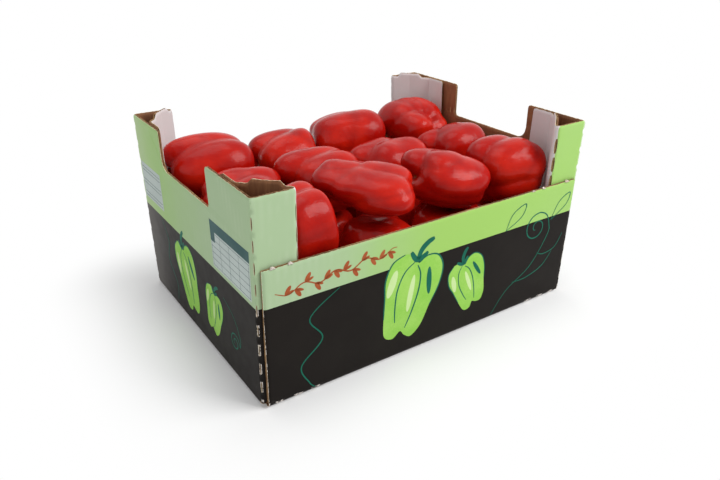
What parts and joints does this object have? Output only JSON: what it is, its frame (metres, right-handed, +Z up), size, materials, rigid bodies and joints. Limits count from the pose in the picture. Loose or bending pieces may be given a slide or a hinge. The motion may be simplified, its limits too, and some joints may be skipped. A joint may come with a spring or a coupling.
{
  "type": "pepper carton",
  "caption": "Open display carton: a folded corrugated tray with stacking corner posts and hand notches, filled with red bell peppers.",
  "frame": {"origin": "middle of the tray's underside", "axes": "+Z up, X along the long side walls, Y from the front side wall to the back one"},
  "size_m": [0.4, 0.3048, 0.2165],
  "materials": {
    "board": "printed corrugated board, matte",
    "pepper": "glossy red skin"
  },
  "bodies": {
    "root": {"tray": "board", "pepper_upper_front_1": "pepper", "pepper_upper_front_2": "pepper", "pepper_upper_front_3": "pepper", "pepper_upper_front_4": "pepper", "pepper_upper_middle_1": "pepper", "pepper_upper_middle_2": "pepper", "pepper_upper_middle_3": "pepper", "pepper_upper_middle_4": "pepper", "pepper_upper_back_1": "pepper", "pepper_upper_back_2": "pepper", "pepper_upper_back_3": "pepper", "pepper_upper_back_4": "pepper", "pepper_lower_front_1": "pepper", "pepper_lower_front_2": "pepper", "pepper_lower_front_3": "pepper", "pepper_lower_front_4": "pepper", "pepper_lower_middle_1": "pepper", "pepper_lower_middle_2": "pepper", "pepper_lower_middle_3": "pepper", "pepper_lower_middle_4": "pepper", "pepper_lower_back_1": "pepper", "pepper_lower_back_2": "pepper", "pepper_lower_back_3": "pepper", "pepper_lower_back_4": "pepper"}
  },
  "joints": []
}
